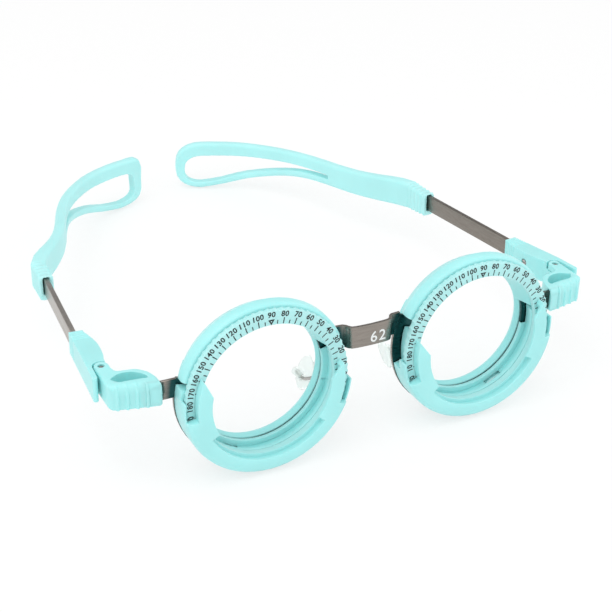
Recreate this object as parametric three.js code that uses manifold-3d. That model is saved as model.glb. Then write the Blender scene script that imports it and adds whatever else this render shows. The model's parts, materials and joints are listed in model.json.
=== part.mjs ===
// Optical trial frame: test lenses sit in two round holders, each with a dial that turns the front lens,
// and the temples end in soft open loops that hook behind the ears.
// Millimetres. X runs to the right seen from the front, Y backwards to the ears, Z up.
// Right and left are the wearer's, so the right side lies on -X.

import * as THREE from 'three';
import { mergeVertices } from 'three/addons/utils/BufferGeometryUtils.js';
import Module from 'manifold-3d';

const wasm = await Module();
wasm.setup();

// Sizes shared by the whole frame
const pupilDistance = 62;
const lensRadius = 19;
const gap = 0.3;
const overrun = 3;

// Scale dial: its number face is the plane Y = 0
const dialLedge = 0.5;
const dialBand = 3.9;
const dialThickness = 1.6;
const scallopDepth = 0.3;
const scallopCount = 72;
const scallopShares = [0, 0.8, 0.8];

// Lens holder: front wall, dial pocket, web and rear lens slot, one behind the other
const holderWall = 0.5;
const holderRound = 2.2;
const frontWallThickness = 2.5;
const coverThickness = 0.4;
const coverLedge = 0.8;
const webThickness = 1.2;
const webLedge = 0.4;
const rearSlotWidth = 2.4;
const lensPlay = 0.2;
const lipLedge = 0.3;
const windowBand = 2.5;
const windowFloor = 1;
const earThickness = 0.8;
const earLedge = 2.5;
const wallTipTemporal = THREE.MathUtils.degToRad(5);
const wallTipNasal = THREE.MathUtils.degToRad(-5);
const bodyTipTemporal = THREE.MathUtils.degToRad(11);
const bodyTipNasal = THREE.MathUtils.degToRad(-12);
const windowEndTemporal = THREE.MathUtils.degToRad(-8);
const windowEndNasal = THREE.MathUtils.degToRad(-21);
const earTopTemporal = THREE.MathUtils.degToRad(24);
const earTopNasal = THREE.MathUtils.degToRad(13);
const earStepTemporal = THREE.MathUtils.degToRad(-28);
const earStepNasal = THREE.MathUtils.degToRad(-38);
const earSlant = THREE.MathUtils.degToRad(12);

// Leaf spring that grips a lens in the rear slot
const springThickness = 0.25;
const springWidth = 1.2;
const springRadius = 15;
const springSink = 0.35;
const springHalfSpan = THREE.MathUtils.degToRad(14);
const springPlace = THREE.MathUtils.degToRad(-62);

// Metal plate with its tabs and the bridge
const plateThickness = 0.8;
const plateLedge = 1.1;
const plateMargin = 0.1;
const tabBottom = 0.6;
const tabHeight = 5.2;
const tabLength = 7.2;
const bridgeHeight = 6;
const bridgeBottom = 3.8;
const bridgeSag = 0.25;
const bridgeBow = 2.3;
const bridgeStep = 2;
const bridgeRiseShare = 0.25;
const bridgeMargin = 0.4;
const bridgeBendLength = 1.9;
const bridgeOverlap = 4;

// Rear ring with the hood over the lens hole
const rearRingThickness = 2.6;
const rearLedge = 1.7;
const rearBoreEdge = 1;
const hoodFrontRound = 1.3;
const hoodTaper = 2;
const hoodTaperStart = 5;
const ringRearRound = 0.9;
const hoodTemporal = THREE.MathUtils.degToRad(16);
const hoodNasal = THREE.MathUtils.degToRad(25);
const hoodLap = THREE.MathUtils.degToRad(8);

// Hinge pin: it stands beyond the end of the plate's tab
const pinBeyondTab = 6.9;
const pinY = 18.2;
const pinRadius = 0.6;
const pinSink = 0.3;

// End block, drawn from the pin
const blockBottom = -0.3;
const blockHeight = 6.8;
const blockCorner = 0.9;
const lugRadius = 1.9;
const blockWidth = 12.8;
const blockDepth = 13.5;
const faceSlope = 2.9;
const faceLean = 2.2;
const faceLeanHeight = 2.4;
const outerCorner = 2.2;
const ridgeCount = 4;
const ridgeRadius = 0.45;
const ridgePitch = 2.4;
const ridgeStart = 2;
const ridgeWaist = 0.3;
const hollowDepth = 4.6;
const tongueHeight = 2.4;
// Outline seen from above: shares of the block's width inboard of the pin and of its depth
const blockBackShares = [
  [0.15, 0.15], [0.2, 0.28], [0.39, 0.32], [0.555, 0.365],
  [0.69, 0.475], [0.765, 0.6], [0.82, 0.77], [0.84, 0.92],
];
const hollowShares = [
  [-0.02, 0.52], [0.15, 0.41], [0.3, 0.39], [0.45, 0.42], [0.57, 0.5], [0.66, 0.62],
  [0.66, 0.73], [0.5, 0.71], [0.3, 0.69], [0.1, 0.66],
];

// Temple sleeve, drawn from the pin with the temple pointing straight back
const cheekReach = 6;
const cheekThickness = 1.3;
const sleeveInner = 1.5;
const sleeveBelly = 2.2;
const sleeveLength = 21.6;
const sleeveTail = 3.35;
const sleeveDrop = 0.55;
const sleeveTaper = 0.5;
const sleeveRibCount = 5;
const sleeveRibPitch = 1.05;
const sleeveGrooveWidth = 0.4;
const sleeveGrooveDepth = 0.22;
const sleeveGrooveInset = 0.7;
// Inner side seen from above: shares of the belly and of the length
const sleeveSideShares = [
  [0.18, 1], [0.27, 0.93], [0.61, 0.8], [0.89, 0.64], [1, 0.5], [0.92, 0.28], [0.7, 0.15],
];

// Temple strip
const stripThickness = 1.4;
const stripHeight = 4.9;
const stripX = 1.8;
const stripZ = 2.3;
const stripShoulder = 19.6;
const stripTang = 8.3;
const tangHeight = 3.4;

// Screw that clamps the strip
const screwY = 10.8;
const screwZ = 2.9;
const screwHeadRadius = 0.85;
const screwHeadHeight = 0.8;
const screwHeadSink = 0.1;
const screwRadius = 0.5;
const screwSlotShare = 0.33;

// Temple lean and droop
const templeLean = THREE.MathUtils.degToRad(5.3);
const templeDroop = THREE.MathUtils.degToRad(1.7);

// Ear loop: its mouth lies at a different place on each side, slid along the strip
const mouthRight = 56.8;
const mouthLeft = 62.6;
const loopGrip = 5.4;
const loopSocketSpare = 0.6;
const loopBack = 83.6;
const loopInward = 49;
const loopHeight = 17.4;
const loopThickness = 3;
const loopSleeveThickness = 4.2;
const loopRound = 0.9;
const holeRound = 0.09;
const edgeShare = 0.497;
const loopRibCount = 5;
const loopRibPitch = 2;
const loopRibDepth = 0.3;
const loopFadeShare = 0.2;
const loopEndRound = 9;
const loopEndBar = 3;
// Route seen from above: shares of the inward reach and of the length back from the mouth
const loopRouteShares = [
  [0, 0], [0, 0.065], [0, 0.13], [0.05, 0.192], [0.125, 0.264], [0.19, 0.34], [0.24, 0.427],
  [0.275, 0.51], [0.315, 0.591], [0.375, 0.678], [0.47, 0.77], [0.6, 0.862], [0.78, 0.939], [1, 1],
];
// Heights from the temple's centre line: share of the route, then share of the loop's height
const loopTopShares = [
  [0, 0.31], [0.12, 0.34], [0.25, 0.33], [0.41, 0.32], [0.56, 0.31], [0.71, 0.31], [1, 0.31],
];
const loopBottomShares = [
  [0, -0.12], [0.11, -0.15], [0.25, -0.145], [0.41, -0.13],
  [0.56, -0.18], [0.715, -0.36], [0.857, -0.59], [1, -0.69],
];
const holeTopShares = [[0.39, 0.09], [0.54, 0.09], [0.69, 0.08], [0.85, 0.06], [1, 0.05]];
const holeBottomShares = [
  [0.39, 0], [0.54, -0.04], [0.69, -0.2], [0.775, -0.33], [0.857, -0.48], [1, -0.58],
];
const holeStartShare = 0.408;
const loopSteps = 20;
const holeSteps = 14;
const closeSteps = 6;
const closeShare = 0.7;
const closeAngle = THREE.MathUtils.degToRad(87);

// Nose pads and the wires that carry them
const padX = 12.3;
const padY = 16.8;
const padZ = -8.9;
const padHeight = 10;
const padDepth = 6.2;
const padThickness = 2.6;
const padSplay = THREE.MathUtils.degToRad(20);
const padFlare = THREE.MathUtils.degToRad(12);
const wireRadius = 0.5;
const wireSeat = 1.5;
const wireStart = THREE.MathUtils.degToRad(-20);
const padBossRadius = 1.3;
const padBossLength = 4.4;
const padBossOut = 1.8;

// Depths from the dial face backwards
const holderFront = -(gap + frontWallThickness);
const earBack = holderFront + earThickness;
const coverFront = -(gap + coverThickness);
const pocketBack = dialThickness + gap;
const webBack = pocketBack + webThickness;
const holderBack = webBack + rearSlotWidth;
const plateFront = holderBack + gap;
const plateBack = plateFront + plateThickness;
const rearFront = plateBack + gap;
const rearBack = rearFront + rearRingThickness;

// Radii about the lens axis, from the lens outwards and inwards
const stripEnd = Math.max(mouthRight, mouthLeft) + loopGrip;
const loopSocketDepth = stripEnd - Math.min(mouthRight, mouthLeft) + loopSocketSpare;
const slotRadius = lensRadius + lensPlay;
const dialBore = lensRadius - dialLedge;
const dialRadius = dialBore + dialBand;
const pocketRadius = dialRadius + gap;
const holderRadius = pocketRadius + holderWall;
const lipBore = lensRadius - lipLedge;
const coverBore = lensRadius - coverLedge;
const webBore = lensRadius - webLedge;
const earBore = lensRadius - earLedge;
const windowInner = pocketRadius - windowBand;
const plateBore = lensRadius - plateLedge;
const plateRadius = holderRadius + plateMargin;
const rearBore = lensRadius - rearLedge;
const rearRingRadius = plateRadius;
const hoodRearRadius = rearRingRadius - hoodTaper;

const tabReach = plateRadius + tabLength;
const pinReach = tabReach + pinBeyondTab;
const pinX = pupilDistance / 2 + pinReach;
const bridgeBendOuter = pupilDistance / 2 - plateRadius - bridgeMargin;
const bridgeBendInner = bridgeBendOuter - bridgeBendLength;
const blockTop = blockBottom + blockHeight;
const blockMiddle = blockBottom + blockHeight / 2;
const cheekInner = lugRadius + gap;
const cheekOuter = cheekInner + cheekThickness;
const cheekRound = cheekThickness / 2;
const blockInboard = lugRadius - blockWidth;
const wireRadiusPlace = (rearBore + hoodRearRadius) / 2;
const wireX = -wireRadiusPlace * Math.cos(wireStart);
const wireZ = wireRadiusPlace * Math.sin(wireStart);

// Counts of facets
const roundSteps = 60;
const smallSteps = 12;
const pitchPasses = 5;

// Finishes
const aqua = new THREE.MeshStandardMaterial({ color: 0xa5f3f3, roughness: 0.35, metalness: 0 });
const softAqua = new THREE.MeshStandardMaterial({ color: 0xb2f3f3, roughness: 0.6, metalness: 0 });
const dialAqua = new THREE.MeshStandardMaterial({ color: 0xb9ecec, roughness: 0.45, metalness: 0 });
const steel = new THREE.MeshStandardMaterial({ color: 0x8c8680, roughness: 0.3, metalness: 0.9 });
const brightSteel = new THREE.MeshStandardMaterial({ color: 0xb8b6b2, roughness: 0.25, metalness: 0.9 });
const clearSoft = new THREE.MeshStandardMaterial({ color: 0xe6f2ee, roughness: 0.3, metalness: 0 });

// Turns a closed geometry into a solid that can be joined and cut
function solidOf(geometry) {
  const bare = geometry.clone();
  bare.deleteAttribute('normal');
  bare.deleteAttribute('uv');
  const merged = mergeVertices(bare);
  const vertProperties = merged.attributes.position.array;
  const triVerts = Uint32Array.from(merged.index.array);
  return new wasm.Manifold(new wasm.Mesh({ numProp: 3, vertProperties, triVerts }));
}

function geometryOf(solid) {
  const mesh = solid.getMesh();
  const geometry = new THREE.BufferGeometry();
  geometry.setAttribute('position', new THREE.BufferAttribute(mesh.vertProperties, 3));
  geometry.setIndex(new THREE.BufferAttribute(mesh.triVerts, 1));
  geometry.computeVertexNormals();
  return geometry;
}

function join(...parts) {
  return geometryOf(parts.map(solidOf).reduce((sum, part) => sum.add(part)));
}

function cut(body, ...tools) {
  return geometryOf(tools.map(solidOf).reduce((rest, tool) => rest.subtract(tool), solidOf(body)));
}

function common(body, ...tools) {
  return geometryOf(tools.map(solidOf).reduce((rest, tool) => rest.intersect(tool), solidOf(body)));
}

function mirrored(geometry) {
  const flipped = geometryOf(solidOf(geometry)).scale(-1, 1, 1);
  const index = flipped.index.array;
  for (let i = 0; i < index.length; i += 3) {
    [index[i], index[i + 1]] = [index[i + 1], index[i]];
  }
  flipped.computeVertexNormals();
  return flipped;
}

function path2(points) {
  return points.map(([x, y]) => new THREE.Vector2(x, y));
}

// A shape drawn in X and Z that runs along Y from its front to its back
function slab(shape, front, back, curveSegments = roundSteps / 2) {
  const depth = back - front;
  const geometry = new THREE.ExtrudeGeometry(shape, { depth, bevelEnabled: false, curveSegments });
  return geometry.rotateX(Math.PI / 2).translate(0, back, 0);
}

// A shape drawn in X and Y, seen from above, that runs up along Z
function column(shape, bottom, top, curveSegments = smallSteps / 2) {
  const depth = top - bottom;
  const geometry = new THREE.ExtrudeGeometry(shape, { depth, bevelEnabled: false, curveSegments });
  return geometry.translate(0, 0, bottom);
}

// A shape drawn in Y and Z, seen from the side, that runs along X
function beam(shape, start, end, curveSegments = smallSteps / 2) {
  const depth = end - start;
  const geometry = new THREE.ExtrudeGeometry(shape, { depth, bevelEnabled: false, curveSegments });
  return geometry.rotateZ(Math.PI / 2).rotateY(Math.PI / 2).translate(start, 0, 0);
}

function box(x0, x1, y0, y1, z0, z1) {
  const geometry = new THREE.BoxGeometry(x1 - x0, y1 - y0, z1 - z0);
  return geometry.translate((x0 + x1) / 2, (y0 + y1) / 2, (z0 + z1) / 2);
}

function postAlongZ(radius, bottom, top, steps = smallSteps * 1.5) {
  const geometry = new THREE.CylinderGeometry(radius, radius, top - bottom, steps);
  return geometry.rotateX(Math.PI / 2).translate(0, 0, (bottom + top) / 2);
}

function postAlongX(radius, start, end, steps = smallSteps) {
  const geometry = new THREE.CylinderGeometry(radius, radius, end - start, steps);
  return geometry.rotateZ(Math.PI / 2).translate((start + end) / 2, 0, 0);
}

// A ring about the lens axis, from its section in radius and depth
function ring(section, steps = roundSteps) {
  return new THREE.LatheGeometry(path2([...section, section[0]]), steps);
}

// Quarter round between two walls of a section, from one angle to the next
function corner(radius, depth, size, start) {
  return [0, 1, 2, 3].map((step) => {
    const angle = start + (step * Math.PI) / 6;
    return [radius + size * Math.cos(angle), depth + size * Math.sin(angle)];
  });
}

// A slice of pie about the lens axis, between two angles counted from the temporal side
function slice(start, end, front, back, reach = holderRadius + overrun) {
  const shape = new THREE.Shape();
  shape.moveTo(0, 0);
  shape.lineTo(reach * Math.cos(start), reach * Math.sin(start));
  shape.absarc(0, 0, reach, start, end, false);
  shape.closePath();
  return slab(shape, front, back, smallSteps);
}

// Angles above the horizontal on the nasal side, counted round from the temporal side
const nasal = (angle) => Math.PI - angle;
const fullTurn = 2 * Math.PI;

function scaleDial() {
  const rim = [];
  for (let i = 0; i < scallopCount; i += 1) {
    scallopShares.forEach((dipShare, step) => {
      const angle = ((i + step / scallopShares.length) / scallopCount) * fullTurn;
      const radius = dialRadius - scallopDepth * dipShare;
      rim.push(new THREE.Vector2(radius * Math.cos(angle), radius * Math.sin(angle)));
    });
  }
  const shape = new THREE.Shape(rim);
  shape.holes.push(new THREE.Path().absarc(0, 0, dialBore, 0, fullTurn, true));
  return slab(shape, 0, dialThickness);
}

function polar(radius, angle) {
  return new THREE.Vector2(radius * Math.cos(angle), radius * Math.sin(angle));
}

// The flange in front of the lens. Its free end is cut at a slant: `up` is the turn that leads to that end.
function holderEar(start, end, tip, up) {
  const section = [
    [earBore, holderFront],
    [windowInner, holderFront],
    [windowInner, -gap],
    [slotRadius, -gap],
    [slotRadius, earBack],
    [earBore, earBack],
  ];
  const outer = polar(windowInner, tip);
  const inner = polar(earBore, tip - up * earSlant);
  const beyond = inner.clone().multiplyScalar(2).sub(outer);
  const bite = new THREE.Shape([outer, beyond, polar(earBore - overrun, tip + up * earSlant)]);
  const depths = [holderFront - overrun, overrun];
  return cut(common(ring(section), slice(start, end, ...depths)), slab(bite, ...depths));
}

// Section of the holder where its front wall covers the rim of the dial
function holderSection() {
  return [
    [lipBore, holderFront],
    ...corner(holderRadius - holderRound, holderFront + holderRound, holderRound, -Math.PI / 2),
    [holderRadius, holderBack],
    [slotRadius, holderBack],
    [slotRadius, webBack],
    [webBore, webBack],
    [webBore, pocketBack],
    [pocketRadius, pocketBack],
    [pocketRadius, -gap],
    [coverBore, -gap],
    [coverBore, coverFront],
    [slotRadius, coverFront],
    [slotRadius, earBack],
    [lipBore, earBack],
  ];
}

function lensHolder() {
  const frontDepths = [holderFront - overrun, pocketBack + gap];
  const backDepths = [pocketBack, holderBack + overrun];
  const keptFront = slice(nasal(wallTipNasal), fullTurn + wallTipTemporal, ...frontDepths);
  const keptBack = slice(nasal(bodyTipNasal), fullTurn + bodyTipTemporal, ...backDepths);
  const shell = common(ring(holderSection()), join(keptFront, keptBack));
  const window = ring([
    [coverBore - gap, holderFront - overrun],
    [holderRadius + overrun, holderFront - overrun],
    [holderRadius + overrun, -windowFloor],
    [pocketRadius, -windowFloor],
    [pocketRadius, 0],
    [coverBore - gap, 0],
  ]);
  const windowDepths = [holderFront - overrun, overrun];
  const temporalWindow = slice(windowEndTemporal, Math.PI / 2, ...windowDepths, holderRadius + 2 * overrun);
  const nasalWindow = slice(Math.PI / 2, nasal(windowEndNasal), ...windowDepths, holderRadius + 2 * overrun);
  const opened = cut(shell, common(window, temporalWindow), common(window, nasalWindow));
  const temporalEar = holderEar(earStepTemporal, earTopTemporal, earTopTemporal, 1);
  const nasalEar = holderEar(nasal(earTopNasal), nasal(earStepNasal), nasal(earTopNasal), -1);
  const sprung = cut(opened, springLeaf(gap));
  return join(sprung, temporalEar, nasalEar);
}

// The bowed leaf lies across the floor of the rear slot; `allowance` grows it to cut its own seat
function springLeaf(allowance) {
  const middle = webBack + rearSlotWidth / 2;
  const front = middle - springWidth / 2 - allowance;
  const back = middle + springWidth / 2 + allowance;
  const crest = slotRadius - springSink + springThickness;
  const inner = springRadius - allowance;
  const outer = springRadius + springThickness + allowance;
  const spread = springHalfSpan + allowance / springRadius;
  const shape = new THREE.Shape();
  shape.absarc(0, 0, outer, -spread, spread, false);
  shape.absarc(0, 0, inner, spread, -spread, true);
  shape.closePath();
  const leaf = slab(shape, front, back, smallSteps / 3);
  leaf.rotateY(Math.PI).translate(crest + springRadius + springThickness, 0, 0);
  return leaf.rotateY(-springPlace);
}

// The full ring lies behind the plate; the hood over it reaches forward to the dial and narrows to the back
function rearRing() {
  const bore = [
    [rearBore + rearBoreEdge / 2, rearBack],
    [rearBore, rearBack - rearBoreEdge],
  ];
  const hoodBack = rearBack - rearBoreEdge;
  const hood = ring([
    [webBore, pocketBack],
    ...corner(rearRingRadius - hoodFrontRound, pocketBack + hoodFrontRound, hoodFrontRound, -Math.PI / 2),
    [rearRingRadius, hoodTaperStart],
    [hoodRearRadius, hoodBack],
    [hoodRearRadius - rearBoreEdge, rearBack],
    ...bore,
  ]);
  const lower = ring([
    [rearBore + rearBoreEdge / 2, rearFront],
    [hoodRearRadius, rearFront],
    ...corner(hoodRearRadius - ringRearRound, rearBack - ringRearRound, ringRearRound, 0),
    ...bore,
  ]);
  const depths = [pocketBack - overrun, rearBack + overrun];
  const seat = postAlongY(wireRadius + gap, rearBack - wireSeat - gap, rearBack + overrun);
  return cut(
    join(
      common(hood, slice(hoodTemporal, nasal(hoodNasal), ...depths)),
      common(lower, slice(nasal(hoodNasal) - hoodLap, fullTurn + hoodTemporal + hoodLap, ...depths)),
    ),
    seat.translate(wireX, 0, wireZ),
  );
}

function plateHalf() {
  const sheet = new THREE.Shape();
  sheet.absarc(0, 0, plateRadius, 0, fullTurn, false);
  sheet.holes.push(new THREE.Path().absarc(0, 0, plateBore, 0, fullTurn, true));
  const tabStart = (plateBore + plateRadius) / 2;
  const tab = box(tabStart, tabReach, plateFront, plateBack, tabBottom, tabBottom + tabHeight);
  return join(slab(sheet, plateFront, plateBack), tab).translate(pupilDistance / 2, 0, 0);
}

// A thin strip that follows a route seen from above
function bentStrip(route, thickness, bottom, top, steps) {
  const outer = [];
  const inner = [];
  for (let i = 0; i <= steps; i += 1) {
    const point = route.getPoint(i / steps);
    const tangent = route.getTangent(i / steps);
    const across = new THREE.Vector2(-tangent.y, tangent.x).multiplyScalar(thickness / 2);
    outer.push(point.clone().sub(across));
    inner.unshift(point.clone().add(across));
  }
  return column(new THREE.Shape([...outer, ...inner]), bottom, top);
}

function bridge() {
  const flat = (plateFront + plateBack) / 2;
  const reach = bridgeBendOuter + bridgeOverlap;
  const bendMiddle = (bridgeBendInner + bridgeBendOuter) / 2;
  const half = [
    [reach, flat],
    [bridgeBendOuter, flat],
    [bendMiddle, flat - bridgeStep / 2],
    [bridgeBendInner, flat - bridgeStep],
    [bridgeBendInner / 2, flat - bridgeBow + (bridgeBow - bridgeStep) * bridgeRiseShare],
  ];
  const leftHalf = half.map(([x, y]) => [-x, y]);
  const route = new THREE.SplineCurve(path2([...leftHalf, [0, flat - bridgeBow], ...half.reverse()]));
  const bridgeTop = bridgeBottom + bridgeHeight;
  const [bottom, top] = [bridgeBottom - overrun, bridgeTop + overrun];
  const strip = bentStrip(route, plateThickness, bottom, top, roundSteps / 3);
  const face = new THREE.Shape();
  face.moveTo(-reach, bridgeBottom);
  face.quadraticCurveTo(0, bridgeBottom - bridgeSag, reach, bridgeBottom);
  face.lineTo(reach, bridgeTop + bridgeSag);
  face.quadraticCurveTo(0, bridgeTop - bridgeSag, -reach, bridgeTop + bridgeSag);
  face.closePath();
  return common(strip, slab(face, plateFront - overrun, plateBack + overrun, smallSteps / 2));
}

// The hood's place, with the gap that the plate keeps from it
function hoodClearance() {
  const edge = gap / plateBore;
  const depths = [pocketBack, rearBack];
  const room = slice(hoodTemporal - edge, nasal(hoodNasal) + edge, ...depths, rearRingRadius + gap);
  return room.translate(pupilDistance / 2, 0, 0);
}

function metalFront() {
  const half = plateHalf();
  const room = hoodClearance();
  return cut(join(half, mirrored(half), bridge()), room, mirrored(room));
}

// Places on the block seen from above, from shares of its width and depth
function blockPoints(shares) {
  return shares.map(([across, forward]) => new THREE.Vector2(-across * blockWidth, -forward * blockDepth));
}

// Leans a geometry that was drawn square so that it follows the slant of the block's front face
function slanted(geometry) {
  const slope = faceSlope / blockWidth;
  const shear = new THREE.Matrix4().makeShear(slope, 0, 0, 0, 0, 0);
  return geometry.translate(-blockInboard, 0, 0).applyMatrix4(shear).translate(blockInboard, 0, 0);
}

// Room behind the front face, which is upright below and rounds back at the top
function faceRoom() {
  const profile = new THREE.Shape();
  profile.moveTo(lugRadius + overrun, blockBottom - overrun);
  profile.lineTo(-blockDepth, blockBottom - overrun);
  profile.lineTo(-blockDepth, blockTop - faceLeanHeight);
  profile.quadraticCurveTo(-blockDepth, blockTop, faceLean - blockDepth, blockTop);
  profile.lineTo(faceLean - blockDepth, blockTop + overrun);
  profile.lineTo(lugRadius + faceSlope + overrun, blockTop + overrun);
  profile.closePath();
  return slanted(beam(profile, blockInboard, lugRadius));
}

// Round ridges that climb the front face and run over its top edge
function gripRidges() {
  const path = new THREE.CatmullRomCurve3([
    new THREE.Vector3(0, -blockDepth, blockBottom - overrun),
    new THREE.Vector3(0, -blockDepth, blockBottom),
    new THREE.Vector3(0, -blockDepth, blockTop - faceLeanHeight),
    new THREE.Vector3(0, faceLean * ridgeWaist - blockDepth, blockTop - faceLeanHeight * ridgeWaist),
    new THREE.Vector3(0, faceLean - blockDepth, blockTop),
  ], false, 'centripetal');
  const section = new THREE.Shape();
  section.absarc(0, 0, ridgeRadius, 0, fullTurn, false);
  const options = { steps: smallSteps / 2, curveSegments: smallSteps / 3, extrudePath: path };
  return Array.from({ length: ridgeCount }, (_, i) => {
    const ridge = new THREE.ExtrudeGeometry(section, options);
    return slanted(ridge.translate(lugRadius - ridgeStart - i * ridgePitch, 0, 0));
  });
}

// The block is drawn from the pin: inboard is -X, forward is -Y
function endBlock() {
  const outerFront = faceSlope - blockDepth;
  const outline = new THREE.Shape();
  outline.moveTo(blockInboard, -blockDepth);
  outline.lineTo(lugRadius - outerCorner, outerFront - outerCorner * (faceSlope / blockWidth));
  outline.quadraticCurveTo(lugRadius, outerFront, lugRadius, outerFront + outerCorner);
  outline.lineTo(lugRadius, 0);
  outline.absarc(0, 0, lugRadius, 0, Math.PI, false);
  outline.splineThru(blockPoints(blockBackShares));
  outline.closePath();
  const hollowRim = new THREE.SplineCurve(closed(blockPoints(hollowShares)));
  const hollow = new THREE.Shape(hollowRim.getPoints(roundSteps / 2));
  const slotBottom = blockMiddle - tongueHeight / 2 - gap;
  const slotTop = blockMiddle + tongueHeight / 2 + gap;
  const slot = postAlongZ(cheekInner, slotBottom, slotTop);
  const reach = cheekInner + overrun;
  const slotWay = box(-reach, reach, 0, reach, slotBottom, slotTop);
  const pinHole = postAlongZ(pinRadius + gap, blockBottom - overrun, blockTop + overrun);
  const tabSlot = box(
    blockInboard - overrun, tabReach - pinReach + gap,
    plateFront - pinY - gap, plateBack - pinY + gap,
    tabBottom - gap, tabBottom + tabHeight + gap,
  );
  const edges = roundedBox(blockInboard, lugRadius, blockBottom, blockTop, blockCorner);
  const softEdges = slab(edges, -blockDepth - overrun, lugRadius, smallSteps / 6);
  const plain = common(column(outline, blockBottom, blockTop), faceRoom());
  const body = common(join(plain, ...gripRidges()), softEdges);
  const pocket = column(hollow, blockTop - hollowDepth, blockTop + overrun);
  return cut(body, pocket, slot, slotWay, pinHole, tabSlot);
}

// A rectangle with rounded corners
function roundedBox(x0, x1, y0, y1, radius) {
  const shape = new THREE.Shape();
  shape.moveTo(x0 + radius, y0);
  shape.lineTo(x1 - radius, y0);
  shape.absarc(x1 - radius, y0 + radius, radius, -Math.PI / 2, 0, false);
  shape.lineTo(x1, y1 - radius);
  shape.absarc(x1 - radius, y1 - radius, radius, 0, Math.PI / 2, false);
  shape.lineTo(x0 + radius, y1);
  shape.absarc(x0 + radius, y1 - radius, radius, Math.PI / 2, Math.PI, false);
  shape.lineTo(x0, y0 + radius);
  shape.absarc(x0 + radius, y0 + radius, radius, Math.PI, 1.5 * Math.PI, false);
  shape.closePath();
  return shape;
}

// A list of points that ends where it starts
function closed(points) {
  return [...points, points[0]];
}

function hingePin() {
  return postAlongZ(pinRadius, blockBottom + pinSink, blockTop - pinSink);
}

// Body of the sleeve, drawn from the pin with the temple straight back: outboard is +X. `inset` thins it.
function sleeveBody(inset) {
  const outer = cheekOuter - inset;
  const inner = sleeveInner - inset;
  const bottom = blockBottom + inset;
  const top = blockTop - inset;
  const shoulder = Math.PI - Math.acos(inner / cheekInner);
  const side = sleeveSideShares.map(([across, along]) => [
    inset - across * sleeveBelly,
    along * sleeveLength,
  ]);
  const outline = new THREE.Shape();
  outline.moveTo(outer, -cheekReach + cheekRound);
  outline.lineTo(outer, 0);
  outline.lineTo(sleeveTail - inset, sleeveLength);
  outline.lineTo(...side[0]);
  outline.splineThru(path2(side.slice(1)));
  outline.lineTo(-inner, cheekInner * Math.sin(shoulder));
  outline.absarc(0, 0, cheekInner, shoulder, 0, true);
  outline.lineTo(cheekInner, -cheekReach + cheekRound);
  outline.absarc(outer - cheekRound, -cheekReach + cheekRound, cheekRound, Math.PI, fullTurn, false);
  const profile = new THREE.Shape(path2([
    [-cheekReach - overrun, bottom],
    [cheekInner, bottom],
    [sleeveLength + overrun, bottom - sleeveDrop],
    [sleeveLength + overrun, top - sleeveDrop - sleeveTaper],
    [cheekInner, top],
    [-cheekReach - overrun, top],
  ]));
  const tall = column(outline, bottom - overrun, top + overrun, smallSteps / 3);
  return common(tall, beam(profile, -sleeveBelly - overrun, cheekOuter + overrun));
}

function templeSleeve() {
  const tongueBottom = blockMiddle - tongueHeight / 2;
  const tongueTop = blockMiddle + tongueHeight / 2;
  const tongue = join(
    postAlongZ(lugRadius, tongueBottom, tongueTop),
    box(-sleeveInner, sleeveInner, 0, cheekOuter, tongueBottom, tongueTop),
  );
  const knuckle = cut(tongue, postAlongZ(pinRadius + gap, blockBottom, blockTop));
  return join(cut(sleeveBody(0), stripSolid(gap), screwSeat(), sleeveGrooves()), knuckle);
}

// Grooves round the rear of the sleeve, which leave its ribs between them
function sleeveGrooves() {
  const reach = cheekOuter + overrun;
  const bands = Array.from({ length: sleeveRibCount }, (_, i) => {
    const back = sleeveLength - sleeveGrooveInset - i * sleeveRibPitch;
    return box(-reach, reach, back - sleeveGrooveWidth, back, blockBottom - reach, blockTop + reach);
  });
  return cut(join(...bands), sleeveBody(sleeveGrooveDepth));
}

// The strip, with its narrow tang in the sleeve; `allowance` grows it to cut its own way
function stripSolid(allowance) {
  const start = stripTang - allowance;
  const shoulder = stripShoulder - allowance;
  const end = stripEnd + allowance;
  const half = stripHeight / 2 + allowance;
  const tang = tangHeight / 2 + allowance;
  const outline = new THREE.Shape(path2([
    [start, stripZ - tang],
    [shoulder, stripZ - tang],
    [shoulder, stripZ - half],
    [end, stripZ - half],
    [end, stripZ + half],
    [shoulder, stripZ + half],
    [shoulder, stripZ + tang],
    [start, stripZ + tang],
  ]));
  const halfThick = stripThickness / 2 + allowance;
  return beam(outline, stripX - halfThick, stripX + halfThick);
}

function screwSeat() {
  const floor = screwHeadSink + screwHeadHeight + gap - sleeveBelly;
  const recess = postAlongX(screwHeadRadius + gap, -sleeveBelly - overrun, floor);
  const hole = postAlongX(screwRadius + gap, -sleeveBelly, stripX);
  return join(recess, hole).translate(0, screwY, screwZ);
}

function sleeveScrew() {
  const headStart = screwHeadSink - sleeveBelly;
  const headEnd = headStart + screwHeadHeight;
  const tip = stripX - stripThickness / 2 - gap;
  const head = postAlongX(screwHeadRadius, headStart, headEnd);
  const shank = postAlongX(screwRadius, headEnd - gap, tip);
  const slotHalf = screwRadius * screwSlotShare;
  const slotFloor = headStart + screwHeadHeight * screwSlotShare;
  const slot = box(headStart - overrun, slotFloor, -overrun, overrun, -slotHalf, slotHalf);
  return cut(join(head, shank), slot).translate(0, screwY, screwZ);
}

// Heights along a table of shares, as a smooth curve
function smooth(table) {
  const places = table.map((row) => row[0]);
  const values = table.map((row) => row[1]);
  const spline = new THREE.CubicInterpolant(places, values, 1, new Float32Array(1));
  return (share) => spline.evaluate(share)[0];
}

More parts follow.
